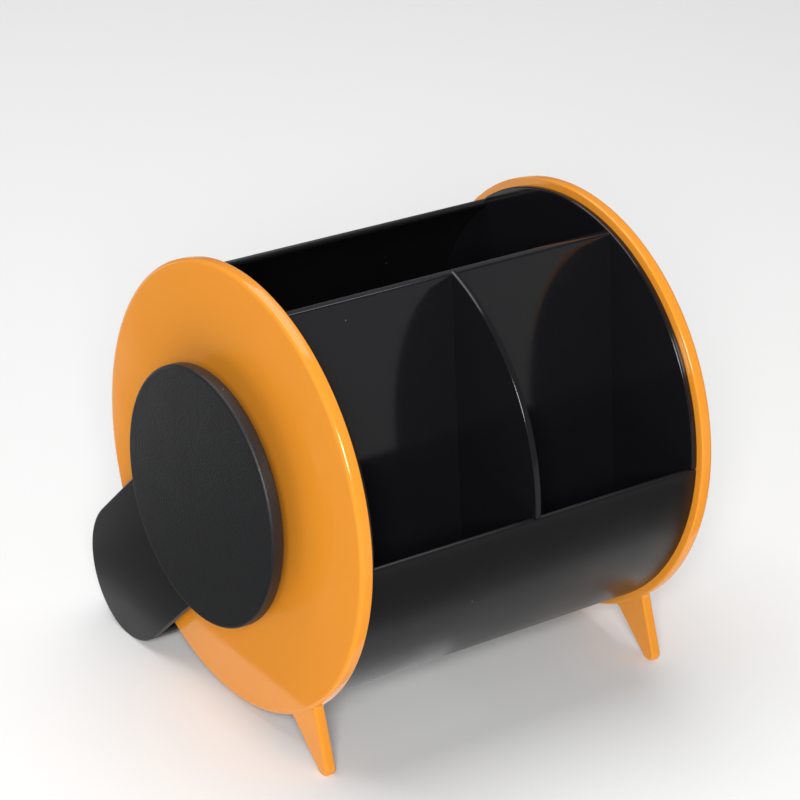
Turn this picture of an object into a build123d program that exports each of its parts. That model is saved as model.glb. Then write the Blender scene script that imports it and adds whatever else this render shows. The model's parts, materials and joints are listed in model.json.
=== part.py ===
from build123d import *
import os
from math import asin, cos, degrees, hypot, radians, sin, sqrt

# Drum-shaped desk organiser on two front feet and a hinged rear stand.
# Millimetres. X runs along the drum, Y to the rear, Z up. The origin is on the desk,
# at the middle of the footprint.

# ---- driving dimensions -------------------------------------------------------------
disc_radius = 60.0          # orange end discs
disc_thickness = 3.5
disc_edge = 1.1             # rounding of the disc's outer corner
disc_inner_edge = 0.5
drum_length = 103.5         # between the inner faces of the two discs
drum_radius = 57.8          # outside of the black drum
shell_wall = 2.0
end_wall_thickness = 1.8
rear_edge_angle = 52.0      # where the shell stops at the back, from +Y towards +Z
front_lip_angle = 178.3     # where the shell stops at the front

partition_lean = 6.5        # top of the long wall leans back by this many degrees
partition_offset = 25.1     # its front face is this far in front of the drum's axis
partition_thickness = 2.0
partition_rim = 3.2         # thickness of the stiffened top edge
partition_rim_height = 2.0
partition_edge = 0.5        # rounding of the top edge
groove_depth = 0.8          # grooves that hold the edges of the inner walls
groove_play = 0.1
divider_thickness = 1.8

foot_angle = -125.6         # direction of each front foot from the drum's axis
foot_root_radius = 6.8      # half the foot's width where it meets the disc
foot_root_fillet = 1.2
foot_tip_radius = 2.1
foot_sole_depth = 0.5       # how much of the round tip is flattened into the sole
foot_recess = 0.45          # the foot's outside lies this far behind the disc's
foot_edge = 0.8
foot_margin = 0.3           # degrees of rim kept beside the foot

stand_angle = -45.0         # direction of the stand from the drum's axis, at rest
stand_reach = 61.4          # axis to the centre of the stand's round end
stand_half_width = 19.2
arm_gap = 3.2               # clear space between a disc and its arm
arm_thickness = 2.0
arm_edge = 0.5
trough_wall = 1.8
trough_lead_in = 2.0        # straight part of the trough's walls, towards the drum

journal_radius = 8.0        # the arms turn on these
journal_clearance = 0.06
hub_flange_radius = 14.0
hub_flange_thickness = 2.6
spigot_radius = 10.0
socket_radius = 5.0
socket_depth = 0.75         # socket floor below the disc's face, under the hub screw
journal_play = 0.1          # between the journal's end and the cap
washer_radius = 13.5
washer_thickness = 0.5
washer_play = 0.3

cap_radius = 34.6
cap_lift = 5.4              # underside of the cap above the disc's face
cap_thickness = 4.05
cap_wall = 1.9              # the cap's face and skirt, round the hollow under it
cap_edge = 0.9
cap_stem_length = 3.2
cap_ring_width = 3.0
cap_ring_height = 0.1

screw_circle = 20.0
screws_per_disc = 3
screw_radius = 1.45
screw_hole_radius = 1.6
thread_hole_radius = 1.5
screw_head_radius = 2.9
screw_head_height = 1.8
screw_head_edge = 0.7
screw_length = 9.5
boss_radius = 3.6
boss_length = 6.0
hub_boss_radius = 5.0
hub_boss_length = 8.0
boss_floor = 0.8            # solid end of each boss past its thread hole
driver_slot_length = 3.77
driver_slot_width = 0.9
driver_slot_depth = 0.8

fit = 0.05                  # play between pieces that are assembled and stay put
round_tip = 0.45            # rounding of a thin wall's free edges, as a share of its thickness

# ---- places worked out from them ----------------------------------------------------
# The stand's round end and the soles of both feet all touch the desk, and the footprint's
# middle is the origin.
axis_z = stand_half_width - stand_reach * sin(radians(stand_angle))
rear_reach = stand_half_width + stand_reach * cos(radians(stand_angle))
axis_y = (disc_radius - rear_reach) / 2
shell_inner_radius = drum_radius - shell_wall

inner_face = drum_length / 2                         # where drum and disc meet
outer_face = inner_face + disc_thickness             # outside of the disc
wall_face = inner_face - end_wall_thickness          # inside of the end wall
arm_inner = outer_face + arm_gap
cap_under = outer_face + cap_lift
socket_floor = outer_face - socket_depth


def section(x, turn=0.0):
    """Cross-section at x, from the drum's axis: local X to the rear, turned up by turn degrees."""
    to_rear = (0, cos(radians(turn)), sin(radians(turn)))
    return Plane(origin=(x, axis_y, axis_z), x_dir=to_rear, z_dir=(1, 0, 0))


def direction(angle, radius):
    """A point of the cross-section by angle from the rear and distance from the axis."""
    return (radius * cos(radians(angle)), radius * sin(radians(angle)))


def opening_wedge():
    """Sketch of the sector that the shell leaves open, well past the drum's outside."""
    far = 2 * drum_radius
    middle = (rear_edge_angle + front_lip_angle) / 2
    corners = [(0, 0)]
    for angle in (rear_edge_angle, middle, front_lip_angle):
        corners.append(direction(angle, far))
    with BuildSketch() as wedge:
        with BuildLine():
            Polyline(*corners, close=True)
        make_face()
    return wedge.sketch


def save(part, name):
    part.label = name
    export_step(part, f"parts/{name}.step")


os.makedirs("parts", exist_ok=True)

# ---- drum shell: a C-section open at the top front ------------------------------------
with BuildPart() as drum_shell:
    with BuildSketch(section(-inner_face)):
        Circle(drum_radius)
        Circle(shell_inner_radius, mode=Mode.SUBTRACT)
        add(opening_wedge(), mode=Mode.SUBTRACT)
    extrude(amount=drum_length)
    long_edges = drum_shell.edges().filter_by(Axis.X)
    fillet(long_edges, radius=round_tip * shell_wall)
save(drum_shell.part, "drum_shell")

# ---- long partition between the rear bay and the two front bays ------------------------
# Its own plane: local X is along the drum, local Y up the wall, and the normal points to
# the front. The plane lies in the wall's front face.
lean = radians(partition_lean)
wall_front = Vector(0, -cos(lean), sin(lean))
wall_origin = Vector(0, axis_y, axis_z) + wall_front * partition_offset
wall_plane = Plane(origin=wall_origin, x_dir=(1, 0, 0), z_dir=wall_front)
wall_top = sqrt(drum_radius**2 - partition_offset**2)
wall_bottom = -sqrt((shell_inner_radius - fit) ** 2 - partition_offset**2)
partition_half_length = wall_face + groove_depth - fit

with BuildPart() as mid_partition:
    with BuildSketch(wall_plane):
        with Locations((0, (wall_top + wall_bottom) / 2)):
            Rectangle(2 * partition_half_length, wall_top - wall_bottom)
    extrude(amount=-partition_thickness)
    with BuildSketch(wall_plane):
        with Locations((0, wall_top - partition_rim_height / 2)):
            Rectangle(2 * (wall_face - fit), partition_rim_height)
    extrude(amount=-partition_rim)
    top_edges = mid_partition.edges().filter_by(Axis.X).group_by(Axis.Z)[-1]
    fillet(top_edges, radius=partition_edge)
    with BuildSketch(wall_plane):
        Rectangle(divider_thickness + 2 * groove_play, 2 * drum_radius)
    extrude(amount=-groove_depth, mode=Mode.SUBTRACT)
save(mid_partition.part, "mid_partition")

# ---- cross divider between the two front bays -----------------------------------------
divider_depth = drum_radius - partition_offset + groove_depth - fit
divider_centre = wall_front * (partition_offset - groove_depth + fit + divider_depth / 2)
wall_in_section = (divider_centre.Y, divider_centre.Z)

with BuildPart() as front_divider:
    with BuildSketch(section(-divider_thickness / 2)):
        with Locations(Location((*wall_in_section, 0), (0, 0, -partition_lean))):
            Rectangle(divider_depth, 2 * drum_radius)
        Circle(shell_inner_radius - fit, mode=Mode.INTERSECT)
    extrude(amount=divider_thickness)
    with BuildSketch(section(-divider_thickness / 2)):
        Circle(drum_radius)
        add(opening_wedge(), mode=Mode.INTERSECT)
        with Locations(Location((*wall_in_section, 0), (0, 0, -partition_lean))):
            Rectangle(divider_depth, 2 * drum_radius, mode=Mode.INTERSECT)
    extrude(amount=divider_thickness)
save(front_divider.part, "front_divider")

# ---- stand's trough: a half tube with short straight lead-ins ---------------------------
trough_radius = stand_half_width
trough_end = arm_inner - fit

with BuildPart() as rear_trough:
    with BuildSketch(section(-trough_end, stand_angle)):
        for radius, mode in ((trough_radius, Mode.ADD), (trough_radius - trough_wall, Mode.SUBTRACT)):
            with Locations((stand_reach, 0)):
                Circle(radius, mode=mode)
            with Locations((stand_reach - trough_radius, 0)):
                Rectangle(2 * trough_radius, 2 * radius, mode=mode)
        with Locations((stand_reach - trough_lead_in, 0)):
            Rectangle(
                4 * trough_radius,
                4 * trough_radius,
                align=(Align.MAX, Align.CENTER),
                mode=Mode.SUBTRACT,
            )
    extrude(amount=2 * trough_end)
    towards_drum = Axis(origin=(0, axis_y, axis_z), direction=-section(0, stand_angle).x_dir)
    rim_faces = rear_trough.faces().filter_by(GeomType.PLANE).sort_by(towards_drum)[-2:]
    fillet(rim_faces.edges().filter_by(Axis.X), radius=round_tip * trough_wall)
save(rear_trough.part, "rear_trough")

# ---- pieces that come once for each side ------------------------------------------------
foot_tip_distance = (axis_z - foot_tip_radius + foot_sole_depth) / -sin(radians(foot_angle))
foot_root_distance = disc_radius - foot_root_radius / 2
foot_taper = asin((foot_root_radius - foot_tip_radius) / (foot_tip_distance - foot_root_distance))
foot_side = foot_root_distance * sin(foot_taper) + foot_root_radius + foot_root_fillet
foot_half_angle = degrees(asin(foot_side / (disc_radius + foot_root_fillet)) - foot_taper) + foot_margin
screw_angles = [90 + 360 / screws_per_disc * i for i in range(screws_per_disc)]
screw_places = [direction(angle, screw_circle) for angle in screw_angles]
disc_screws = []
hub_screws = []

for side, hand in ((-1, "left"), (1, "right")):

    # End wall: drops inside the shell and comes out flush with it along the opening.
    with BuildPart() as end_wall:
        with BuildSketch(section(side * wall_face)):
            Circle(drum_radius)
            add(opening_wedge(), mode=Mode.INTERSECT)
            Circle(shell_inner_radius - fit)
        extrude(amount=side * end_wall_thickness)
        with BuildSketch(section(side * wall_face)):
            with Locations(*screw_places):
                Circle(boss_radius)
        extrude(amount=-side * boss_length)
        with BuildSketch(section(side * wall_face)):
            Circle(hub_boss_radius)
        extrude(amount=-side * hub_boss_length)
        with BuildSketch(section(side * inner_face)):
            with Locations(*screw_places):
                Circle(thread_hole_radius)
        extrude(amount=-side * (end_wall_thickness + boss_length - boss_floor), mode=Mode.SUBTRACT)
        with BuildSketch(section(side * inner_face)):
            Circle(thread_hole_radius)
        extrude(amount=-side * (end_wall_thickness + hub_boss_length - boss_floor), mode=Mode.SUBTRACT)
        with BuildSketch(wall_plane.offset(groove_play)):
            with Locations((side * wall_face, 0)):
                Rectangle(2 * groove_depth, 3 * drum_radius)
        extrude(amount=-partition_thickness - 2 * groove_play, mode=Mode.SUBTRACT)
    save(end_wall.part, f"{hand}_end_wall")

    # Foot: from a wide round root to a small round tip, with two small fillets on the disc's
    # rim. Its outline is kept only near the foot, and the tip is cut flat on the desk.
    with BuildPart() as foot:
        with BuildSketch(section(side * inner_face)) as foot_outline:
            with Locations(direction(foot_angle, foot_tip_distance)):
                Circle(foot_tip_radius)
            with Locations(direction(foot_angle, foot_root_distance)):
                Circle(foot_root_radius)
            make_hull()
            Circle(disc_radius)
            foot_tip = direction(foot_angle, foot_tip_distance)
            on_rim = foot_outline.vertices().filter_by(lambda v: abs(hypot(v.X, v.Y) - disc_radius) < 0.01)
            fillet(on_rim.sort_by_distance(foot_tip)[:2], radius=foot_root_fillet)
            with BuildLine():
                Polyline(
                    (0, 0),
                    direction(foot_angle - foot_half_angle, 2 * disc_radius),
                    direction(foot_angle + foot_half_angle, 2 * disc_radius),
                    close=True,
                )
            make_face(mode=Mode.INTERSECT)
        extrude(amount=side * (disc_thickness - foot_recess))
        for face, radius in ((-1, foot_edge), (0, disc_inner_edge)):
            flat = foot.faces().sort_by(Axis((0, 0, 0), (side, 0, 0)))[face]
            free = flat.edges().filter_by(
                lambda e: hypot(e.center().Y - axis_y, e.center().Z - axis_z) > disc_radius - foot_edge
            )
            fillet(free, radius=radius)
        split(bisect_by=Plane.XY, keep=Keep.TOP)

    # Disc, with its foot moulded on.
    with BuildPart() as disc:
        with BuildSketch(section(side * inner_face)):
            Circle(disc_radius)
        extrude(amount=side * disc_thickness)
        fillet(disc.faces().sort_by(Axis.X)[0 if side < 0 else -1].edges(), radius=disc_edge)
        fillet(disc.faces().sort_by(Axis.X)[-1 if side < 0 else 0].edges(), radius=disc_inner_edge)
        add(foot.part)
        with BuildSketch(section(side * inner_face)):
            Circle(spigot_radius + fit)
            with Locations(*screw_places):
                Circle(screw_hole_radius)
        extrude(amount=side * disc_thickness, mode=Mode.SUBTRACT)
    save(disc.part, f"{hand}_disc")

    # Hub: a spigot through the disc, a flange against it and the journal for the arm.
    with BuildPart() as hub:
        with BuildSketch(section(side * inner_face)):
            Circle(spigot_radius)
        extrude(amount=side * disc_thickness)
        with BuildSketch(section(side * outer_face)):
            Circle(hub_flange_radius)
        extrude(amount=side * hub_flange_thickness)
        with BuildSketch(section(side * outer_face)):
            Circle(journal_radius)
        extrude(amount=side * (cap_lift - journal_play))
        with BuildSketch(section(side * socket_floor)):
            Circle(socket_radius)
        extrude(amount=side * 2 * cap_lift, mode=Mode.SUBTRACT)
        with BuildSketch(section(side * inner_face)):
            Circle(screw_hole_radius)
        extrude(amount=side * disc_thickness, mode=Mode.SUBTRACT)
    save(hub.part, f"{hand}_hub")

    # Friction washer between the hub's flange and the arm.
    with BuildPart() as washer:
        with BuildSketch(section(side * (outer_face + hub_flange_thickness + fit))):
            Circle(washer_radius)
            Circle(journal_radius + washer_play, mode=Mode.SUBTRACT)
        extrude(amount=side * washer_thickness)
    save(washer.part, f"{hand}_friction_washer")

    # Stand arm: a flat plate with round ends and a bearing hole. The trough butts against it.
    with BuildPart() as arm:
        with BuildSketch(section(side * arm_inner, stand_angle)):
            with Locations((stand_reach / 2, 0)):
                SlotCenterToCenter(stand_reach, 2 * stand_half_width)
        extrude(amount=side * arm_thickness)
        fillet(arm.faces().filter_by(Axis.X).edges(), radius=arm_edge)
        with BuildSketch(section(side * arm_inner, stand_angle)):
            Circle(journal_radius + journal_clearance)
        extrude(amount=side * arm_thickness, mode=Mode.SUBTRACT)
    save(arm.part, f"{hand}_stand_arm")

    # Cap: a flat round cover, with a ring that keeps the arm on and a stem in the hub.
    with BuildPart() as cap:
        with BuildSketch(section(side * cap_under)):
            Circle(cap_radius)
        extrude(amount=side * cap_thickness)
        rims = cap.edges().filter_by(GeomType.CIRCLE)
        fillet(rims, radius=cap_edge)
        with BuildSketch(section(side * cap_under)):
            Circle(cap_radius - cap_wall)
            Circle(hub_flange_radius, mode=Mode.SUBTRACT)
        extrude(amount=side * (cap_thickness - cap_wall), mode=Mode.SUBTRACT)
        with BuildSketch(section(side * cap_under)):
            Circle(hub_flange_radius)
            Circle(hub_flange_radius - cap_ring_width, mode=Mode.SUBTRACT)
        extrude(amount=-side * cap_ring_height)
        with BuildSketch(section(side * cap_under)):
            Circle(socket_radius - fit)
        extrude(amount=-side * cap_stem_length)
    save(cap.part, f"{hand}_cap")

    # Screws: pan heads with a cross slot, shanks towards the drum.
    seats = [(place, outer_face, screw_length, disc_screws) for place in screw_places]
    seats.append(((0, 0), socket_floor, screw_length, hub_screws))
    for place, seat, length, group in seats:
        with BuildPart() as screw:
            with BuildSketch(section(side * seat)):
                with Locations(place):
                    Circle(screw_head_radius)
            extrude(amount=side * screw_head_height)
            head_top = screw.faces().sort_by(Axis.X)[0 if side < 0 else -1]
            fillet(head_top.edges(), radius=screw_head_edge)
            with BuildSketch(section(side * seat)):
                with Locations(place):
                    Circle(screw_radius)
            extrude(amount=-side * length)
            with BuildSketch(section(side * (seat + screw_head_height))):
                with Locations(place):
                    Rectangle(driver_slot_length, driver_slot_width)
                    Rectangle(driver_slot_width, driver_slot_length)
            extrude(amount=-side * driver_slot_depth, mode=Mode.SUBTRACT)
        group.append(screw.part)

save(Compound(children=disc_screws), "disc_screws")
save(Compound(children=hub_screws), "hub_screws")
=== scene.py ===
"""Surfaces, finishes and studio for a drum-shaped desk organiser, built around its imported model.

Everything is in metres in the model's own frame: X along the drum, Y to the rear, Z up, and
the origin on the desk at the middle of the footprint. The drum's cross-section is worked out
from its axis, with angles from the rear, turning up.
"""

import json
from math import asin, cos, pi, radians, sin, sqrt, tau

import bpy
import numpy as np
from mathutils import Matrix, Vector


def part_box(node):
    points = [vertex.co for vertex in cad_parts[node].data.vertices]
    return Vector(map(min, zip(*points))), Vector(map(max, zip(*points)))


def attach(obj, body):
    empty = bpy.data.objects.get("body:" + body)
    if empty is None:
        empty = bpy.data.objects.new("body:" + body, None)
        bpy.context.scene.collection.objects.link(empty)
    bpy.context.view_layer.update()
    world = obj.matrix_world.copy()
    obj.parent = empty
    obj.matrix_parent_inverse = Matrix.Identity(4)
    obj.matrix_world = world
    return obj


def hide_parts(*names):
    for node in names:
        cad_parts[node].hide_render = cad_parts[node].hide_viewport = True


bl_info = {
    "name": "Drum desk organiser",
    "version": (1, 0, 0),
    "blender": (4, 5, 0),
    "location": "View3D > Sidebar > Organiser",
    "description": "Moulded surfaces, plastics and a plain studio for a drum desk organiser",
    "category": "Object",
}

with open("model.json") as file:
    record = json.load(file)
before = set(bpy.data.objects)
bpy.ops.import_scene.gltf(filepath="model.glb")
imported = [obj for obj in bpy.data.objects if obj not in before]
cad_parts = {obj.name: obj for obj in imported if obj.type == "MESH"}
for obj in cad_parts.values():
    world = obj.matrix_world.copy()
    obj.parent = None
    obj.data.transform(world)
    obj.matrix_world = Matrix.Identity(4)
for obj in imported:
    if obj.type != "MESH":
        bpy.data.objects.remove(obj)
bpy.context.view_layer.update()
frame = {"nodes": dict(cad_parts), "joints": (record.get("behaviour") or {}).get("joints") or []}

MM = 0.001
HANDS = (("left", -1), ("right", 1))
DRUM_BODY = "drum_unit"
STAND_BODY = "stand"
TURN_STEPS = 192            # facets round a full turn
EDGE_STEPS = 7              # points along a rounded edge
CORNER_STEPS = 10           # points round a small corner
SUPPORT = 0.2 * MM          # band that keeps the flat beside a rounded edge flat
OVERLAP = 0.6 * MM          # how far a hidden edge is let into its neighbour
RAMP = radians(0.15)        # turn taken by a step between a wall's inside and outside
SCREWS_PER_DISC = 3

# ---- places read from the model -------------------------------------------------------------
AXIS = Vector(frame["joints"][0]["pos_m"])
DISC_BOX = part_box("right_disc")
SHELL_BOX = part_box("drum_shell")
WALL_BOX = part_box("right_end_wall")
CAP_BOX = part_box("right_cap")
ARM_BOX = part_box("right_stand_arm")
TROUGH_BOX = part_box("rear_trough")
DIVIDER_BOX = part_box("front_divider")
PARTITION_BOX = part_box("mid_partition")

DISC_RADIUS = AXIS.y - DISC_BOX[0].y
DRUM_RADIUS = AXIS.y - SHELL_BOX[0].y
CAP_RADIUS = (CAP_BOX[1].y - CAP_BOX[0].y) / 2
STAND_ANGLE = radians(-45)
STAND_HALF_WIDTH = AXIS.y - ARM_BOX[0].y
STAND_REACH = (AXIS.z - STAND_HALF_WIDTH) / -sin(STAND_ANGLE)


def linear(code):
    """Scene-linear RGBA of an sRGB hex code."""
    levels = np.array([int(code[i : i + 2], 16) for i in (1, 3, 5)]) / 255
    curved = ((levels + 0.055) / 1.055) ** 2.4
    return (*np.where(levels <= 0.04045, levels / 12.92, curved), 1.0)


def pattern_scale(size_mm):
    """Texture scale that gives a pattern of that size in Object coordinates, which are metres."""
    return 1 / (size_mm * MM)


# ---- what a user would change ---------------------------------------------------------------
class OrganiserShape(bpy.types.PropertyGroup):
    """Sizes of the moulded walls, feet and edges."""

    shell_wall: bpy.props.FloatProperty(
        name="Shell wall", description="Thickness of the curved wall", default=2 * MM, unit="LENGTH"
    )
    rear_edge: bpy.props.FloatProperty(
        name="Rear edge", description="Where the curved wall stops at the back",
        default=radians(52), subtype="ANGLE",
    )
    front_lip: bpy.props.FloatProperty(
        name="Front lip", description="Where the curved wall stops at the front",
        default=radians(178.3), subtype="ANGLE",
    )
    wall_lean: bpy.props.FloatProperty(
        name="Partition lean", description="How far the long wall leans back",
        default=radians(6.5), subtype="ANGLE",
    )
    wall_offset: bpy.props.FloatProperty(
        name="Partition offset", description="Long wall's front face, in front of the drum's axis",
        default=25.1 * MM, unit="LENGTH",
    )
    wall_thickness: bpy.props.FloatProperty(
        name="Partition thickness", description="Thickness of the long wall",
        default=2 * MM, unit="LENGTH",
    )
    rim_thickness: bpy.props.FloatProperty(
        name="Rim thickness", description="Thickness of the long wall's top edge",
        default=3.2 * MM, unit="LENGTH",
    )
    rim_height: bpy.props.FloatProperty(
        name="Rim height", description="Height of the thick top edge", default=2 * MM, unit="LENGTH"
    )
    foot_angle: bpy.props.FloatProperty(
        name="Foot angle", description="Direction of each front foot from the drum's axis",
        default=radians(-125.6), subtype="ANGLE",
    )
    foot_root: bpy.props.FloatProperty(
        name="Foot root", description="Half the foot's width at the disc", default=6.8 * MM, unit="LENGTH"
    )
    foot_fillet: bpy.props.FloatProperty(
        name="Foot fillet", description="Rounding where foot and disc meet",
        default=1.2 * MM, unit="LENGTH",
    )
    foot_tip: bpy.props.FloatProperty(
        name="Foot tip", description="Radius of the foot's tip", default=2.1 * MM, unit="LENGTH"
    )
    sole_depth: bpy.props.FloatProperty(
        name="Sole depth", description="How much of the round tip is flattened",
        default=0.5 * MM, unit="LENGTH",
    )
    disc_edge: bpy.props.FloatProperty(
        name="Disc edge", description="Rounding of the discs' outer corner",
        default=1.1 * MM, unit="LENGTH",
    )
    disc_inner_edge: bpy.props.FloatProperty(
        name="Disc inner edge", description="Rounding of the discs' inner corner",
        default=0.5 * MM, unit="LENGTH",
    )
    moulded_edge: bpy.props.FloatProperty(
        name="Moulded edge", description="Rounding of the thin walls' edges",
        default=0.35 * MM, unit="LENGTH",
    )
    arm_edge: bpy.props.FloatProperty(
        name="Arm edge", description="Rounding of the stand arms' edges",
        default=0.5 * MM, unit="LENGTH",
    )
    trough_wall: bpy.props.FloatProperty(
        name="Trough wall", description="Thickness of the stand's trough",
        default=1.8 * MM, unit="LENGTH",
    )
    trough_lead_in: bpy.props.FloatProperty(
        name="Trough lead-in", description="Straight part of the trough's walls",
        default=2 * MM, unit="LENGTH",
    )
    cap_thickness: bpy.props.FloatProperty(
        name="Cap thickness", description="Height of the round caps", default=4.05 * MM, unit="LENGTH"
    )
    cap_wall: bpy.props.FloatProperty(
        name="Cap wall", description="Thickness of the caps' face and skirt",
        default=1.9 * MM, unit="LENGTH",
    )
    cap_edge: bpy.props.FloatProperty(
        name="Cap edge", description="Rounding of the caps' corners", default=0.9 * MM, unit="LENGTH"
    )
    cap_crown: bpy.props.FloatProperty(
        name="Cap crown", description="How far the cap's face drops to its edge",
        default=0.15 * MM, unit="LENGTH",
    )


class OrganiserColours(bpy.types.PropertyGroup):
    """Colours of the plastics and the floor."""

    orange: bpy.props.FloatVectorProperty(
        name="Orange", description="End discs and feet", default=linear("#F1992F"), size=4, subtype="COLOR"
    )
    satin: bpy.props.FloatVectorProperty(
        name="Satin black", description="Drum and stand", default=linear("#121214"), size=4, subtype="COLOR"
    )
    gloss: bpy.props.FloatVectorProperty(
        name="Gloss black", description="Inner walls", default=linear("#161619"), size=4, subtype="COLOR"
    )
    matt: bpy.props.FloatVectorProperty(
        name="Matt black", description="Round caps", default=linear("#1C1D1F"), size=4, subtype="COLOR"
    )
    floor: bpy.props.FloatVectorProperty(
        name="Floor", description="Studio floor", default=linear("#F6F6F5"), size=4, subtype="COLOR"
    )


class OrganiserStudio(bpy.types.PropertyGroup):
    """Camera and lights."""

    azimuth: bpy.props.FloatProperty(
        name="Azimuth", description="Camera's turn round the object, from the front to the right",
        default=radians(-35.77), subtype="ANGLE",
    )
    elevation: bpy.props.FloatProperty(
        name="Elevation", description="Camera's height above the horizon",
        default=radians(25.76), subtype="ANGLE",
    )
    roll: bpy.props.FloatProperty(
        name="Roll", description="Camera's roll, right side up", default=radians(1.68), subtype="ANGLE"
    )
    distance: bpy.props.FloatProperty(
        name="Distance", description="From the camera to the point it looks at",
        default=0.77, unit="LENGTH",
    )
    target: bpy.props.FloatVectorProperty(
        name="Target", description="Point the camera looks at",
        default=(-14.2 * MM, -17.9 * MM, 84.1 * MM), size=3, subtype="XYZ", unit="LENGTH",
    )
    lens: bpy.props.FloatProperty(name="Lens", description="Focal length in mm", default=135.7)
    key: bpy.props.FloatProperty(
        name="Key light", description="Power of the softbox overhead", default=13.0, unit="POWER"
    )
    front: bpy.props.FloatProperty(
        name="Front light", description="Power of the softbox at the front left", default=22.0, unit="POWER"
    )
    room: bpy.props.FloatProperty(
        name="Room light", description="Strength of the pale surroundings", default=0.17
    )


# ---- surfaces -------------------------------------------------------------------------------
def polar(angle, radius):
    """Points of the cross-section from their angles and distances."""
    return np.stack((radius * np.cos(angle), radius * np.sin(angle)), axis=-1)


def arc(centre, radius, start, stop, steps):
    """Points round a circle: centre + radius (cos a, sin a), for a evenly from start to stop."""
    return np.asarray(centre) + polar(np.linspace(start, stop, steps), radius)


def turn_outline(outline, angle):
    """Outline turned about the axis by an angle: (y cos a - z sin a, y sin a + z cos a)."""
    return outline @ np.array([[cos(angle), sin(angle)], [-sin(angle), cos(angle)]])


def mitres(outline):
    """How each point of a closed outline moves when the outline shrinks by one unit.

    The sum of the inward normals on both sides, divided by one plus their product, keeps both
    sides parallel to where they were."""
    along = np.roll(outline, -1, axis=0) - outline
    along /= np.linalg.norm(along, axis=1)[:, None]
    normal = np.stack((-along[:, 1], along[:, 0]), axis=1)
    before = np.roll(normal, 1, axis=0)
    onward = np.roll(outline, -1, axis=0)
    area = np.sum(outline[:, 0] * onward[:, 1] - onward[:, 0] * outline[:, 1])
    return np.sign(area) * (normal + before) / (1 + np.sum(normal * before, axis=1))[:, None]


def stations(low, high, low_edge, high_edge):
    """Inset and place along X of each ring across a plate with rounded corners.

    On a corner of radius e the ring at angle t is inset by e (1 - sin t), at a depth of
    e (1 - cos t) from the face, for t from nothing at the face to a quarter turn at the side."""
    t = np.linspace(0, pi / 2, EDGE_STEPS)
    low_inset, high_inset = low_edge * (1 - np.sin(t)), high_edge * (1 - np.sin(t[::-1]))
    low_x = low + low_edge * (1 - np.cos(t))
    high_x = high - high_edge * (1 - np.cos(t[::-1]))
    inset = np.concatenate(([low_edge + SUPPORT], low_inset, high_inset, [high_edge + SUPPORT]))
    return inset, np.concatenate(([low], low_x, high_x, [high]))


def grid_faces(rows, columns, close_rows=False):
    """Quads of a grid of points whose columns close on themselves, as an (n, 4) index array."""
    row, column = np.meshgrid(np.arange(rows if close_rows else rows - 1), np.arange(columns), indexing="ij")
    here, onward = column.ravel(), (column.ravel() + 1) % columns
    first, second = row.ravel() * columns, (row.ravel() + 1) % rows * columns
    return np.stack((first + here, first + onward, second + onward, second + here), axis=1)


def fan_faces(tip, start, count):
    """Triangles from a tip to a closed ring of points."""
    here = np.arange(count)
    return np.stack((np.full(count, tip), start + (here + 1) % count, start + here), axis=1)


def rings_at(x, rings):
    """Points (x, y, z) of the rings of a cross-section, one ring at each place along X."""
    places = np.broadcast_to(np.asarray(x)[:, None, None], (*rings.shape[:2], 1))
    section = rings + np.array([AXIS.y, AXIS.z])
    section[..., 1] = np.maximum(section[..., 1], 0)
    return np.concatenate((places, section), axis=2).reshape(-1, 3)


def plate(outline, low, high, low_edge, high_edge, centre=(0, 0), hole=0.0):
    """Solid plate across X from a closed outline seen whole from its centre, corners rounded.

    Each ring is the outline shrunk by its station's inset. The faces close on the centre, or on
    a round hole about it whose wall joins them. Nothing goes below the desk."""
    inset, x = stations(low, high, low_edge, high_edge)
    rings = outline[None] + inset[:, None, None] * mitres(outline)[None]
    count = len(outline)
    if hole:
        away = outline - centre
        mouth = centre + hole * away / np.linalg.norm(away, axis=1)[:, None]
        rings = np.concatenate((mouth[None], rings, mouth[None]))
        x = np.concatenate(([low], x, [high]))
        return rings_at(x, rings), [grid_faces(len(x), count, close_rows=True)]
    points = rings_at(x, rings)
    poles = [[place, AXIS.y + centre[0], AXIS.z + centre[1]] for place in (low, high)]
    total = len(points)
    low_fan = fan_faces(total, 0, count)
    high_fan = fan_faces(total + 1, total - count, count)[:, ::-1]
    return np.vstack((points, poles)), [grid_faces(len(x), count), low_fan, high_fan]


def carried(outline, half_length, edge):
    """Thin closed outline carried along X, its ends rounded and closed across the wall.

    Point k of the outline lies opposite point n - 1 - k, and each end is closed by the quads
    between those pairs."""
    inset, x = stations(-half_length, half_length, edge, edge)
    rings = outline[None] + inset[:, None, None] * mitres(outline)[None]
    count = len(outline)
    k = np.arange(count // 2 - 1)
    rungs = np.stack((k, k + 1, count - 2 - k, count - 1 - k), axis=1)
    last = (len(x) - 1) * count
    return rings_at(x, rings), [grid_faces(len(x), count), rungs[:, ::-1], rungs + last]


def turned(profile, centre=(0, 0)):
    """Solid turned about an axis along X. profile is (n, 2): place along X and radius.

    A point at radius r and angle a lies at (r cos a, r sin a) from the centre. The first and
    last points of the profile are poles."""
    angle = np.arange(TURN_STEPS) * tau / TURN_STEPS
    rings = np.asarray(centre) + polar(angle[None, :], profile[1:-1, 1][:, None])
    points = rings_at(profile[1:-1, 0], rings)
    poles = [[place, AXIS.y + centre[0], AXIS.z + centre[1]] for place in profile[[0, -1], 0]]
    total = len(points)
    first_fan = fan_faces(total, 0, TURN_STEPS)
    last_fan = fan_faces(total + 1, total - TURN_STEPS, TURN_STEPS)[:, ::-1]
    return np.vstack((points, poles)), [grid_faces(len(rings), TURN_STEPS), first_fan, last_fan]


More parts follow.
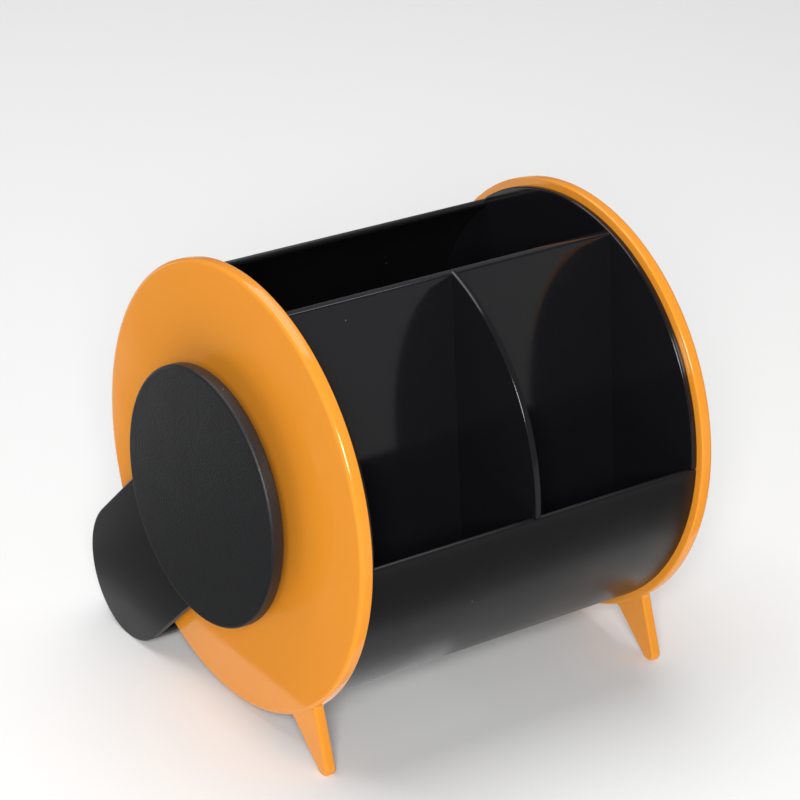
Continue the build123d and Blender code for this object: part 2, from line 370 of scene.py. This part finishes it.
def band(centre, outer, inner, start, stop, lead=0.0):
    """Outline of a wall that follows a circle from start to stop, with half-round tips.

    Both faces are arcs about the centre, each tip is a half circle across the wall, and lead is
    the straight run from an arc's end to its tip's centre. The outline starts in the middle of
    the first tip, so that opposite points pair up."""
    steps = int((stop - start) / tau * TURN_STEPS)
    half, mean = (outer - inner) / 2, (outer + inner) / 2
    forward, backward = polar(stop + pi / 2, 1.0), polar(start - pi / 2, 1.0)
    last_tip = polar(stop, mean) + lead * forward
    first_tip = polar(start, mean) + lead * backward
    outside, inside = arc((0, 0), outer, start, stop, steps), arc((0, 0), inner, stop, start, steps)
    far = arc(last_tip, half, stop, stop + pi, 2 * EDGE_STEPS)
    near = arc(first_tip, half, start + pi, start + tau, 2 * EDGE_STEPS)
    if not lead:
        outside, inside = outside[1:-1], inside[1:-1]
    return np.asarray(centre) + np.vstack((near[EDGE_STEPS:], outside, far, inside, near[:EDGE_STEPS]))


def build(name, solids, side=1):
    """Object made of closed solids, each an (n, 3) array and its index arrays, facing outwards.

    side -1 mirrors them in X. The sign of the volume enclosed, the sum of a . (b x c) over the
    triangles, tells which way a solid's faces point."""
    meshes, start = [], 0
    for points, faces in solids:
        points = points * np.array([side, 1, 1])
        fans = [f[:, [0, i, i + 1]] for f in faces for i in range(1, f.shape[1] - 1)]
        a, b, c = (points[np.vstack(fans)[:, i]] - points.mean(axis=0) for i in range(3))
        outward = np.einsum("ij,ij->", a, np.cross(b, c)) > 0
        meshes.append((points, [(f if outward else f[:, ::-1]) + start for f in faces]))
        start += len(points)
    points = np.vstack([p for p, _ in meshes])
    faces = [f for _, group in meshes for f in group]
    sizes = np.concatenate([np.full(len(f), f.shape[1]) for f in faces])
    corners = np.concatenate([f.ravel() for f in faces])
    mesh = bpy.data.meshes.new(name)
    mesh.vertices.add(len(points))
    mesh.vertices.foreach_set("co", points.astype(np.float32).ravel())
    mesh.loops.add(len(corners))
    mesh.loops.foreach_set("vertex_index", corners.astype(np.int32))
    mesh.polygons.add(len(sizes))
    mesh.polygons.foreach_set("loop_start", (np.cumsum(sizes) - sizes).astype(np.int32))
    mesh.update(calc_edges=True)
    if mesh.validate():
        raise ValueError(f"{name} has faces that Blender had to repair")
    mesh.shade_smooth()
    mesh.set_sharp_from_angle(angle=radians(40))
    piece = bpy.data.objects.new(name, mesh)
    bpy.context.scene.collection.objects.link(piece)
    return piece


def place(piece, body, slot, node, material):
    """Puts a finished piece in the model in place of its CAD node."""
    piece.data.materials.append(material)
    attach(piece, body)
    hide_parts(node)


# ---- finishes -------------------------------------------------------------------------------
CLOUD_MM = 14               # patches of slightly different colour and gloss
SPECK_SPACING_MM = 1.6      # cells that hold one pale speck at most
SPECK_RADIUS = 0.1          # as a share of a cell
CRYSTAL_MM = 0.7            # spangles of the zinc


def add_node(tree, kind, values=None, links=None, **settings):
    """Adds a shader node, with its settings, its sockets' values and the links into them."""
    node = tree.nodes.new(kind)
    for setting, value in settings.items():
        setattr(node, setting, value)
    for socket, value in (values or {}).items():
        node.inputs[socket].default_value = value
    for socket, source in (links or {}).items():
        tree.links.new(source, node.inputs[socket])
    return node


def new_material(name):
    """Material whose node tree is still empty, and that tree."""
    material = bpy.data.materials.new(name)
    material.use_nodes = True
    material.node_tree.nodes.clear()
    return material, material.node_tree


def plastic(name, colour, roughness, ior, mottle, grain_mm, grain_depth, wave_mm, wave_depth, dust=0.0):
    """Moulded plastic: colour mottled between two shades, uneven gloss, grain and slow waves.

    roughness is the lowest and highest, mottle how much darker the darker shade is, depths are in
    millimetres, and dust is the share of the surface that holds tiny pale specks."""
    existing = bpy.data.materials.get(name)
    if existing:
        return existing
    material, tree = new_material(name)
    where = add_node(tree, "ShaderNodeTexCoord").outputs["Object"]
    clouds = add_node(
        tree, "ShaderNodeTexNoise", {"Scale": pattern_scale(CLOUD_MM), "Detail": 3.0}, {"Vector": where}
    )
    light = tuple(colour)
    dark = (*(channel * (1 - mottle) for channel in light[:3]), 1.0)
    shade = add_node(
        tree, "ShaderNodeMix", {6: dark, 7: light}, {0: clouds.outputs["Fac"]}, data_type="RGBA"
    ).outputs[2]
    if dust:
        cells = add_node(
            tree,
            "ShaderNodeTexVoronoi",
            {"Scale": pattern_scale(SPECK_SPACING_MM), "Randomness": 1.0},
            {"Vector": where},
        )
        chance = add_node(tree, "ShaderNodeSeparateColor", links={0: cells.outputs["Color"]})
        rare = add_node(
            tree, "ShaderNodeMath", {1: 1 - dust}, {0: chance.outputs[0]}, operation="GREATER_THAN"
        )
        small = add_node(
            tree,
            "ShaderNodeMath",
            {1: SPECK_RADIUS},
            {0: cells.outputs["Distance"]},
            operation="LESS_THAN",
        )
        speck = add_node(
            tree, "ShaderNodeMath", None, {0: rare.outputs[0], 1: small.outputs[0]}, operation="MULTIPLY"
        )
        shade = add_node(
            tree,
            "ShaderNodeMix",
            {7: linear("#8C8A88")},
            {0: speck.outputs[0], 6: shade},
            data_type="RGBA",
        ).outputs[2]
    sheen = add_node(
        tree,
        "ShaderNodeMapRange",
        {"From Min": 0.3, "From Max": 0.7, "To Min": roughness[0], "To Max": roughness[1]},
        {"Value": clouds.outputs["Fac"]},
    )
    grain = add_node(
        tree,
        "ShaderNodeTexNoise",
        {"Scale": pattern_scale(grain_mm), "Detail": 2.0, "Roughness": 0.6},
        {"Vector": where},
    )
    waves = add_node(
        tree, "ShaderNodeTexNoise", {"Scale": pattern_scale(wave_mm), "Detail": 1.0}, {"Vector": where}
    )
    grit = add_node(
        tree,
        "ShaderNodeBump",
        {"Strength": 1.0, "Distance": grain_depth * MM},
        {"Height": grain.outputs["Fac"]},
    )
    swell = add_node(
        tree,
        "ShaderNodeBump",
        {"Strength": 1.0, "Distance": wave_depth * MM},
        {"Height": waves.outputs["Fac"], "Normal": grit.outputs[0]},
    )
    surface = add_node(
        tree,
        "ShaderNodeBsdfPrincipled",
        {"IOR": ior},
        {"Base Color": shade, "Roughness": sheen.outputs[0], "Normal": swell.outputs[0]},
    )
    add_node(tree, "ShaderNodeOutputMaterial", links={0: surface.outputs[0]})
    return material


def gloss_orange_abs():
    """ABS from a polished mould: deep orange, a clear soft gloss and a trace of orange peel."""
    colour = bpy.context.scene.organiser_colours.orange
    return plastic("Polished orange ABS", colour, (0.09, 0.14), 1.54, 0.04, 1.4, 0.0016, 9, 0.004)


def satin_black_abs():
    """ABS from a finely etched mould: black, with wide soft highlights that sparkle a little."""
    colour = bpy.context.scene.organiser_colours.satin
    return plastic("Satin black ABS", colour, (0.34, 0.4), 1.46, 0.15, 0.3, 0.006, 12, 0.006, 0.006)


def gloss_black_polystyrene():
    """Polystyrene from a polished mould: near black, and clear enough to mirror its neighbours."""
    colour = bpy.context.scene.organiser_colours.gloss
    return plastic("Gloss black polystyrene", colour, (0.09, 0.13), 1.5, 0.15, 0.9, 0.0006, 16, 0.006, 0.004)


def grained_black_abs():
    """ABS from a leather-grained mould: matt charcoal, with a fine pebble that breaks up light."""
    colour = bpy.context.scene.organiser_colours.matt
    return plastic("Grained matt black ABS", colour, (0.42, 0.5), 1.5, 0.12, 0.5, 0.1, 10, 0.004, 0.03)


def black_acetal():
    """Acetal, turned and moulded: black, waxy and slightly uneven where the arm slides on it."""
    return plastic("Black acetal", linear("#1B1B1C"), (0.3, 0.42), 1.48, 0.2, 0.5, 0.004, 8, 0.004)


def natural_nylon():
    """Nylon sheet, punched: milky white and soft in its shine."""
    return plastic("Natural nylon", linear("#E4E1D6"), (0.4, 0.5), 1.53, 0.08, 0.4, 0.004, 6, 0.004)


def zinc_plated_steel():
    """Steel screws with bright zinc: pale blue-grey metal with a cloudy crystal pattern."""
    existing = bpy.data.materials.get("Zinc-plated steel")
    if existing:
        return existing
    material, tree = new_material("Zinc-plated steel")
    where = add_node(tree, "ShaderNodeTexCoord").outputs["Object"]
    crystals = add_node(
        tree, "ShaderNodeTexVoronoi", {"Scale": pattern_scale(CRYSTAL_MM)}, {"Vector": where}
    )
    tone = add_node(tree, "ShaderNodeSeparateColor", links={0: crystals.outputs["Color"]})
    shade = add_node(
        tree,
        "ShaderNodeMix",
        {6: linear("#9DA3AA"), 7: linear("#C9CED4")},
        {0: tone.outputs[0]},
        data_type="RGBA",
    )
    gloss = add_node(
        tree, "ShaderNodeMapRange", {"To Min": 0.24, "To Max": 0.4}, {"Value": tone.outputs[1]}
    )
    surface = add_node(
        tree,
        "ShaderNodeBsdfPrincipled",
        {"Metallic": 1.0},
        {"Base Color": shade.outputs[2], "Roughness": gloss.outputs[0]},
    )
    add_node(tree, "ShaderNodeOutputMaterial", links={0: surface.outputs[0]})
    return material


# ---- pieces ---------------------------------------------------------------------------------
class AddEndDiscs(bpy.types.Operator):
    """Orange end discs, each with its front foot"""

    bl_idname = "organiser.end_discs"
    bl_label = "End discs"

    def execute(self, context):
        """A round plate with a hole for the hub, and a foot let into its rim.

        The foot runs from a wide round root to a small round tip along the lines that touch
        both circles, and meets the rim in two small fillets."""
        shape = context.scene.organiser_shape
        spigot_hole = 10.05 * MM
        recess = 0.45 * MM
        seam = 0.04 * MM
        foot_edge = 0.8 * MM
        tip_distance = (AXIS.z - shape.foot_tip + shape.sole_depth) / -sin(shape.foot_angle)
        root_distance = DISC_RADIUS - shape.foot_root / 2
        taper = asin((shape.foot_root - shape.foot_tip) / (tip_distance - root_distance))
        side_distance = root_distance * sin(taper) + shape.foot_root
        fillet_reach = DISC_RADIUS + shape.foot_fillet
        fillet_angle = asin((side_distance + shape.foot_fillet) / fillet_reach) - taper
        fillet = arc(
            polar(fillet_angle, fillet_reach), shape.foot_fillet,
            fillet_angle + pi, 3 * pi / 2 - taper, CORNER_STEPS,
        )
        tip = arc((tip_distance, 0), shape.foot_tip, pi / 2 - taper, -pi / 2 + taper, 4 * CORNER_STEPS)
        other = (fillet * np.array([1, -1]))[::-1]
        root = arc((0, 0), DISC_RADIUS - 3 * shape.disc_edge, -fillet_angle, fillet_angle, CORNER_STEPS)
        outline = turn_outline(np.vstack((fillet, tip, other, root)), shape.foot_angle)
        middle = polar(shape.foot_angle, DISC_RADIUS)
        low, high = DISC_BOX[0].x, DISC_BOX[1].x
        rim = arc((0, 0), DISC_RADIUS, 0, tau, 2 * TURN_STEPS + 1)[:-1]
        disc = plate(rim, low, high, shape.disc_inner_edge, shape.disc_edge, hole=spigot_hole)
        foot = plate(outline, low + seam, high - recess, shape.disc_inner_edge, foot_edge, middle)
        for hand, side in HANDS:
            piece = build(f"{hand}_disc_moulding", [disc, foot], side)
            place(piece, DRUM_BODY, "orange", f"{hand}_disc", gloss_orange_abs())
        return {"FINISHED"}


class AddShell(bpy.types.Operator):
    """Curved wall of the drum, open at the top and front"""

    bl_idname = "organiser.shell"
    bl_label = "Drum shell"

    def execute(self, context):
        """A wall that follows the drum's circle from the front lip round to the rear edge."""
        shape = context.scene.organiser_shape
        inner = DRUM_RADIUS - shape.shell_wall
        tip = shape.shell_wall / (DRUM_RADIUS + inner)
        start, stop = shape.front_lip + tip, shape.rear_edge + tau - tip
        outline = band((0, 0), DRUM_RADIUS, inner, start, stop)
        piece = build("drum_shell_moulding", [carried(outline, SHELL_BOX[1].x, shape.moulded_edge)])
        place(piece, DRUM_BODY, "satin_black", "drum_shell", satin_black_abs())
        return {"FINISHED"}


class AddEndWalls(bpy.types.Operator):
    """Round walls that close the drum's ends"""

    bl_idname = "organiser.end_walls"
    bl_label = "End walls"

    def execute(self, context):
        """A plate inside the shell that steps out flush with it along the opening, and its bosses.

        The step at each end of the opening is a short ramp, so that the outline is still a
        distance for each angle."""
        shape = context.scene.organiser_shape
        screw_circle, boss, boss_length = 20 * MM, 3.6 * MM, 6 * MM
        hub_boss, hub_boss_length = 5 * MM, 8 * MM
        thread_hole = 1.5 * MM
        inside = DRUM_RADIUS - shape.shell_wall
        high = DISC_BOX[0].x
        low = high - (WALL_BOX[1].x - WALL_BOX[0].x - hub_boss_length)
        opening = arc((0, 0), DRUM_RADIUS, shape.rear_edge + RAMP, shape.front_lip - RAMP, TURN_STEPS // 2)
        hidden = arc((0, 0), inside, shape.front_lip, shape.rear_edge + tau, TURN_STEPS)
        edge = shape.moulded_edge
        wall = plate(np.vstack((opening, hidden)), low, high, edge, edge, hole=thread_hole)
        bosses = [((0, 0), hub_boss, hub_boss_length)]
        screw_angles = pi / 2 + tau * np.arange(SCREWS_PER_DISC) / SCREWS_PER_DISC
        bosses += [(polar(angle, screw_circle), boss, boss_length) for angle in screw_angles]
        solids = [wall]
        for centre, radius, length in bosses:
            top = low - length
            profile = np.array(
                [
                    (low + OVERLAP, 0),
                    (low + OVERLAP, radius),
                    (top + edge, radius),
                    (top + edge / 3, radius - edge / 3),
                    (top, radius - edge),
                    (top, 0),
                ]
            )
            solids.append(turned(profile, centre))
        for hand, side in HANDS:
            piece = build(f"{hand}_end_wall_moulding", solids, side)
            place(piece, DRUM_BODY, "gloss_black", f"{hand}_end_wall", gloss_black_polystyrene())
        return {"FINISHED"}


class AddPartition(bpy.types.Operator):
    """Long wall between the rear bay and the front bays"""

    bl_idname = "organiser.partition"
    bl_label = "Long partition"

    def execute(self, context):
        """Upright section with a thicker rounded rim, leaned back and carried along the drum.

        The section is drawn with its front face at no depth: u is the depth behind the front
        face and v the height along it, and a point lies at (u - offset, v), turned by the lean."""
        shape = context.scene.organiser_shape
        inside = DRUM_RADIUS - shape.shell_wall
        back, rim = shape.wall_thickness, shape.rim_thickness
        corner = 0.5 * MM
        top = sqrt(DRUM_RADIUS**2 - shape.wall_offset**2)
        front_foot = -sqrt(inside**2 - shape.wall_offset**2) - OVERLAP
        back_foot = -sqrt(inside**2 - (shape.wall_offset - back) ** 2) - OVERLAP
        step = top - shape.rim_height
        bend = np.linspace(0, pi / 2, EDGE_STEPS)
        dip, lift = corner * (1 - np.sin(bend)), corner * (1 - np.cos(bend))
        front = np.stack((lift, top - dip), axis=1)
        rear = np.stack((rim - lift, top - dip), axis=1)
        front = np.vstack(([(0, front_foot), (0, step - corner / 2), (0, step)], front))
        rear = np.vstack(([(back, back_foot), (back, step - corner / 2), (rim, step)], rear))
        drawn = np.vstack((front, rear[::-1])) - np.array([shape.wall_offset, 0])
        outline = turn_outline(drawn, -shape.wall_lean)
        half = PARTITION_BOX[1].x
        piece = build("mid_partition_moulding", [carried(outline, half, shape.moulded_edge)])
        place(piece, DRUM_BODY, "gloss_black", "mid_partition", gloss_black_polystyrene())
        return {"FINISHED"}


class AddDivider(bpy.types.Operator):
    """Cross wall between the two front bays"""

    bl_idname = "organiser.divider"
    bl_label = "Front divider"

    def execute(self, context):
        """A plate bounded by the long wall, the shell's inside and, in the opening, the drum's
        outside. Its hidden edges are let into both walls."""
        shape = context.scene.organiser_shape
        inside = DRUM_RADIUS - shape.shell_wall + OVERLAP
        chord = shape.wall_offset - OVERLAP
        wall_direction = pi - shape.wall_lean
        top = wall_direction - np.arccos(chord / DRUM_RADIUS)
        bottom = wall_direction + np.arccos(chord / inside)
        open_side = arc((0, 0), DRUM_RADIUS, top, shape.front_lip - RAMP, TURN_STEPS // 3)
        hidden = arc((0, 0), inside, shape.front_lip, bottom, TURN_STEPS // 4)
        outline = np.vstack((open_side, hidden))
        centre = polar(wall_direction, (chord + DRUM_RADIUS) / 2)
        low, high = DIVIDER_BOX[0].x, DIVIDER_BOX[1].x
        edge = shape.moulded_edge
        piece = build("front_divider_moulding", [plate(outline, low, high, edge, edge, centre)])
        place(piece, DRUM_BODY, "gloss_black", "front_divider", gloss_black_polystyrene())
        return {"FINISHED"}


class AddStandArms(bpy.types.Operator):
    """Flat arms of the hinged stand"""

    bl_idname = "organiser.stand_arms"
    bl_label = "Stand arms"

    def execute(self, context):
        """A plate with two round ends, from the drum's axis to the stand's end, and a bearing.

        The straight sides have a point at (width / tan a, width) for each of many even angles a,
        so that the bearing's wall, which follows the outline's angles, stays round."""
        shape = context.scene.organiser_shape
        bearing = 8.06 * MM
        near = arc((0, 0), STAND_HALF_WIDTH, pi / 2, 3 * pi / 2, TURN_STEPS // 2)
        far = arc((STAND_REACH, 0), STAND_HALF_WIDTH, -pi / 2, pi / 2, TURN_STEPS // 2)
        far_end = np.arctan2(STAND_HALF_WIDTH, STAND_REACH)
        angles = np.linspace(far_end, pi / 2, TURN_STEPS // 4)[1:-1]
        width = np.full(len(angles), STAND_HALF_WIDTH)
        upper = np.stack((width / np.tan(angles), width), axis=1)
        lower = (upper * np.array([1, -1]))[::-1]
        outline = turn_outline(np.vstack((near, lower, far, upper)), STAND_ANGLE)
        arm = plate(outline, ARM_BOX[0].x, ARM_BOX[1].x, shape.arm_edge, shape.arm_edge, hole=bearing)
        for hand, side in HANDS:
            piece = build(f"{hand}_stand_arm_moulding", [arm], side)
            place(piece, STAND_BODY, "satin_black", f"{hand}_stand_arm", satin_black_abs())
        return {"FINISHED"}


class AddTrough(bpy.types.Operator):
    """Half-round trough that joins the stand's arms"""

    bl_idname = "organiser.trough"
    bl_label = "Stand trough"

    def execute(self, context):
        """A wall that follows the arms' round end, with short straight runs towards the drum."""
        shape = context.scene.organiser_shape
        inner = STAND_HALF_WIDTH - shape.trough_wall
        lead = shape.trough_lead_in - shape.trough_wall / 2
        outline = band((STAND_REACH, 0), STAND_HALF_WIDTH, inner, -pi / 2, pi / 2, lead)
        outline = turn_outline(outline, STAND_ANGLE)
        piece = build("rear_trough_moulding", [carried(outline, TROUGH_BOX[1].x, shape.moulded_edge)])
        place(piece, STAND_BODY, "satin_black", "rear_trough", satin_black_abs())
        return {"FINISHED"}


class AddCaps(bpy.types.Operator):
    """Round caps over the hinges"""

    bl_idname = "organiser.caps"
    bl_label = "Hinge caps"

    def execute(self, context):
        """A turned cover: stem, ring, hollow, skirt with two rounded corners, faintly crowned face.

        The crown drops with the square of the radius."""
        shape = context.scene.organiser_shape
        face = CAP_BOX[1].x
        under = face - shape.cap_thickness
        stem_radius, stem_edge = 4.95 * MM, 0.45 * MM
        ring_inside, ring_outside, ring_height = 11 * MM, 14 * MM, 0.1 * MM
        flat = CAP_RADIUS - shape.cap_edge
        stem_end = CAP_BOX[0].x
        stem = [
            (stem_end, 0),
            (stem_end, stem_radius - stem_edge),
            (stem_end + stem_edge, stem_radius),
            (under, stem_radius),
            (under, ring_inside),
            (under - ring_height, ring_inside),
            (under - ring_height, ring_outside),
            (under, ring_outside),
            (face - shape.cap_wall, ring_outside),
            (face - shape.cap_wall, CAP_RADIUS - shape.cap_wall),
            (under, CAP_RADIUS - shape.cap_wall),
            (under, flat - SUPPORT),
        ]
        t = np.linspace(0, pi / 2, EDGE_STEPS + 2)
        lower_x = under + shape.cap_edge * (1 - np.cos(t))
        lower = np.stack((lower_x, flat + shape.cap_edge * np.sin(t)), axis=1)
        shoulder = face - shape.cap_crown
        upper_x = shoulder - shape.cap_edge * (1 - np.cos(t[::-1]))
        upper = np.stack((upper_x, flat + shape.cap_edge * np.sin(t[::-1])), axis=1)
        radius = np.linspace(flat - SUPPORT, 0, 2 * CORNER_STEPS)
        crown = np.stack((face - shape.cap_crown * (radius / flat) ** 2, radius), axis=1)
        cap = turned(np.vstack((stem, lower, upper, crown)))
        for hand, side in HANDS:
            piece = build(f"{hand}_cap_moulding", [cap], side)
            place(piece, DRUM_BODY, "matt_black", f"{hand}_cap", grained_black_abs())
        return {"FINISHED"}


class FinishFittings(bpy.types.Operator):
    """Finishes for the hubs, washers and screws, which keep their CAD shapes"""

    bl_idname = "organiser.fittings"
    bl_label = "Hubs, washers and screws"

    def execute(self, context):
        finishes = {"disc_screws": zinc_plated_steel(), "hub_screws": zinc_plated_steel()}
        for hand, _ in HANDS:
            finishes[f"{hand}_hub"] = black_acetal()
            finishes[f"{hand}_friction_washer"] = natural_nylon()
        for node, material in finishes.items():
            for slot in frame["nodes"][node].material_slots:
                slot.material = material
        return {"FINISHED"}


class AddStudio(bpy.types.Operator):
    """Pale floor, soft lights and the camera"""

    bl_idname = "organiser.studio"
    bl_label = "Studio"

    def execute(self, context):
        """Floor, surroundings, two softboxes, three cards and the camera.

        The gloss mirrors the surroundings. A dark card at the left and along the front stands for
        the dark side of the room, a grey one for what lies in front, and a bright one for the
        light under the drum. The dark card's back edge runs out to the left rear."""
        scene = context.scene
        studio = scene.organiser_studio
        scene.view_settings.view_transform = "Standard"
        add_floor(scene.organiser_colours.floor)
        add_world(studio.room)
        add_softbox("Key softbox", (0.0, 0.35, 1.3), (0, 0, 0.05), (1.5, 1.2), studio.key)
        add_softbox("Front softbox", (-0.85, -1.15, 0.8), (0, 0, 0.06), (0.45, 0.45), studio.front)
        reach = 3.0
        near_left, near_front = -0.069, -0.17
        left_edge_start, left_edge_end = (near_left, 0.083), (-1.67, 2.81)
        corner = (near_left, near_front)
        left = [corner, left_edge_start, left_edge_end, (-reach, left_edge_end[1]), (-reach, near_front)]
        # Glowing cards seen only in reflections: painted dark reflections from the dark card, painted
        # reflected light from the grey and bright ones.
        add_card("Dark card", 0.12, [left, rectangle(near_left, reach, near_front, -0.075)])
        add_card("Bright card", 0.95, [rectangle(-0.05, 0.0, -0.045, 0.07)])
        add_card("Grey card", 0.4, [rectangle(-reach, reach, -reach, near_front)])
        add_camera(studio)
        return {"FINISHED"}


def add_floor(colour):
    """Large flat floor, pale and dull."""
    material, tree = new_material("Pale matt floor")
    surface = add_node(
        tree, "ShaderNodeBsdfPrincipled", {"Base Color": tuple(colour), "Roughness": 0.8, "IOR": 1.3}
    )
    add_node(tree, "ShaderNodeOutputMaterial", links={0: surface.outputs[0]})
    reach = 4.0
    mesh = bpy.data.meshes.new("Studio floor")
    corners = [(-reach, -reach, 0), (reach, -reach, 0), (reach, reach, 0), (-reach, reach, 0)]
    mesh.from_pydata(corners, [], [(0, 1, 2, 3)])
    mesh.materials.append(material)
    floor = bpy.data.objects.new("Studio floor", mesh)
    bpy.context.scene.collection.objects.link(floor)


def rectangle(left, right, front, back):
    """Corners of a rectangle on the floor."""
    return [(left, front), (right, front), (right, back), (left, back)]


def add_card(name, brightness, outlines):
    """Flat glowing card just above the floor, cut to some outlines, that only shows in reflections: a
    painted reflection of a bright or dark part of the room.
    """
    material, tree = new_material(name)
    glow = add_node(tree, "ShaderNodeEmission", {"Color": (brightness, brightness, brightness, 1)})
    add_node(tree, "ShaderNodeOutputMaterial", links={0: glow.outputs[0]})
    corners = [(x, y, 1 * MM) for outline in outlines for x, y in outline]
    counts = np.array([len(outline) for outline in outlines])
    starts = np.cumsum(counts) - counts
    mesh = bpy.data.meshes.new(name)
    mesh.from_pydata(corners, [], [list(range(i, i + n)) for i, n in zip(starts, counts)])
    mesh.materials.append(material)
    card = bpy.data.objects.new(name, mesh)
    bpy.context.scene.collection.objects.link(card)
    card.visible_camera = card.visible_diffuse = card.visible_shadow = False
    card.visible_transmission = card.visible_volume_scatter = False


def add_world(strength):
    """Even pale light from all round."""
    world = bpy.data.worlds.new("Pale room")
    world.use_nodes = True
    background = world.node_tree.nodes["Background"]
    background.inputs["Color"].default_value = linear("#FAFBFF")
    background.inputs["Strength"].default_value = strength
    bpy.context.scene.world = world


def add_softbox(name, where, towards, size, power):
    """Rectangular area light that faces a point."""
    light = bpy.data.lights.new(name, "AREA")
    light.shape = "RECTANGLE"
    light.size, light.size_y = size
    light.energy = power
    box = bpy.data.objects.new(name, light)
    aim = Vector(towards) - Vector(where)
    box.matrix_world = Matrix.Translation(where) @ aim.to_track_quat("-Z", "Y").to_matrix().to_4x4()
    bpy.context.scene.collection.objects.link(box)


def add_camera(studio):
    """Camera on a sphere about its target, rolled a little about its own view."""
    camera = bpy.data.cameras.new("Camera")
    camera.lens = studio.lens
    camera.clip_start = 0.05
    viewer = bpy.data.objects.new("Camera", camera)
    turn, rise = studio.azimuth, studio.elevation
    back = Vector((sin(turn) * cos(rise), -cos(turn) * cos(rise), sin(rise)))
    spot = Vector(studio.target) + studio.distance * back
    facing = back.to_track_quat("Z", "Y").to_matrix().to_4x4()
    viewer.matrix_world = Matrix.Translation(spot) @ facing @ Matrix.Rotation(studio.roll, 4, "Z")
    bpy.context.scene.collection.objects.link(viewer)
    bpy.context.scene.camera = viewer


STEPS = (
    AddEndDiscs,
    AddShell,
    AddEndWalls,
    AddPartition,
    AddDivider,
    AddStandArms,
    AddTrough,
    AddCaps,
    FinishFittings,
    AddStudio,
)


class OrganiserPanel(bpy.types.Panel):
    """Buttons and settings for the organiser"""

    bl_idname = "VIEW3D_PT_organiser"
    bl_label = "Drum desk organiser"
    bl_space_type = "VIEW_3D"
    bl_region_type = "UI"
    bl_category = "Organiser"

    def draw(self, context):
        layout = self.layout
        for step in STEPS:
            layout.operator(step.bl_idname)
        for settings in (context.scene.organiser_shape, context.scene.organiser_colours):
            for name in settings.__annotations__:
                layout.prop(settings, name)
        for name in context.scene.organiser_studio.__annotations__:
            layout.prop(context.scene.organiser_studio, name)


CLASSES = (OrganiserShape, OrganiserColours, OrganiserStudio, *STEPS, OrganiserPanel)


def register():
    for each in CLASSES:
        bpy.utils.register_class(each)
    bpy.types.Scene.organiser_shape = bpy.props.PointerProperty(type=OrganiserShape)
    bpy.types.Scene.organiser_colours = bpy.props.PointerProperty(type=OrganiserColours)
    bpy.types.Scene.organiser_studio = bpy.props.PointerProperty(type=OrganiserStudio)


def unregister():
    del bpy.types.Scene.organiser_studio
    del bpy.types.Scene.organiser_colours
    del bpy.types.Scene.organiser_shape
    for each in reversed(CLASSES):
        bpy.utils.unregister_class(each)


def main():
    """Builds every piece in order."""
    register()
    for step in STEPS:
        group, name = step.bl_idname.split(".")
        getattr(getattr(bpy.ops, group), name)()


if __name__ == "__main__":
    main()
